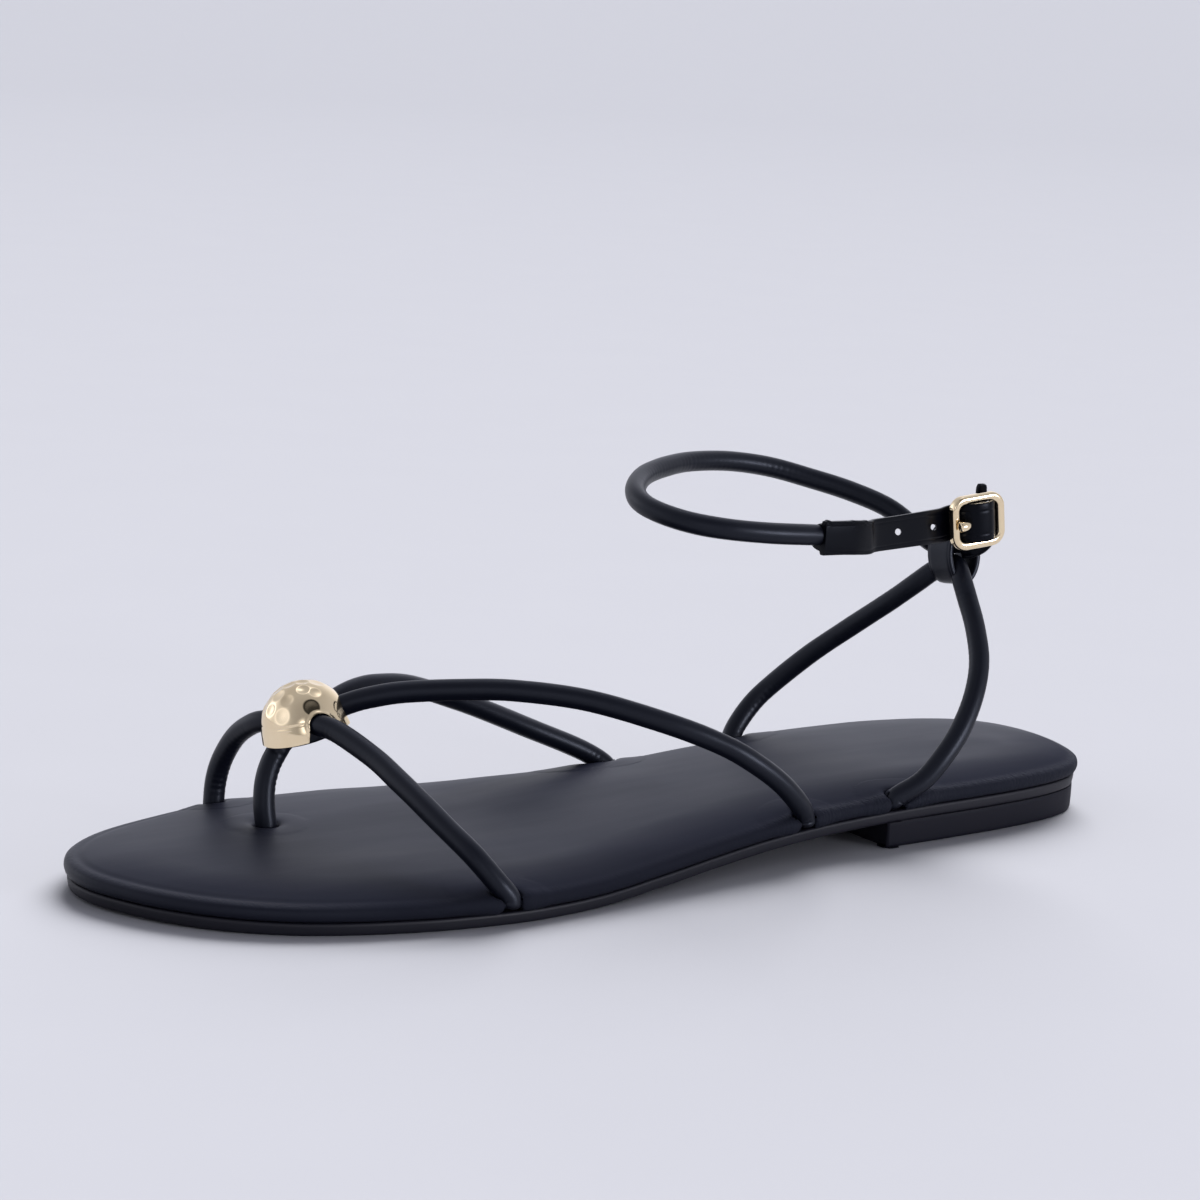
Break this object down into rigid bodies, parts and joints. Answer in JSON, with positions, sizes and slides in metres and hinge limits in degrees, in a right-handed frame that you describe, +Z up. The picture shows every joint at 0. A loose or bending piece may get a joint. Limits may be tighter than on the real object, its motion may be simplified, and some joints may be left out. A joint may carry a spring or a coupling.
{
  "type": "strappy flat sandal",
  "caption": "Open flat sandal for the left foot: round straps gathered in a domed metal bead over the toes, a heel strap and a buckled ankle strap on a thin padded sole with a low heel.",
  "frame": {"origin": "on the floor, under the middle of the shoe's box", "axes": "+X from heel to toe, +Y to the wearer's left, which is the outer side of this left shoe, +Z up"},
  "size_m": [0.248, 0.0888, 0.0808],
  "materials": {
    "black_sole": "matte",
    "black_footbed": "satin",
    "black_strap": "satin",
    "pale_gold": "polished"
  },
  "bodies": {
    "root": {"outsole": "black_sole", "heel_block": "black_sole", "footbed": "black_footbed", "front_straps": "black_strap", "heel_strap": "black_strap", "keeper_ring": "black_strap", "ankle_strap": "black_strap", "ankle_billet": "black_strap", "buckle_chape": "black_strap", "bead_dome": "pale_gold", "buckle_frame": "pale_gold", "buckle_prong": "pale_gold"}
  },
  "joints": []
}
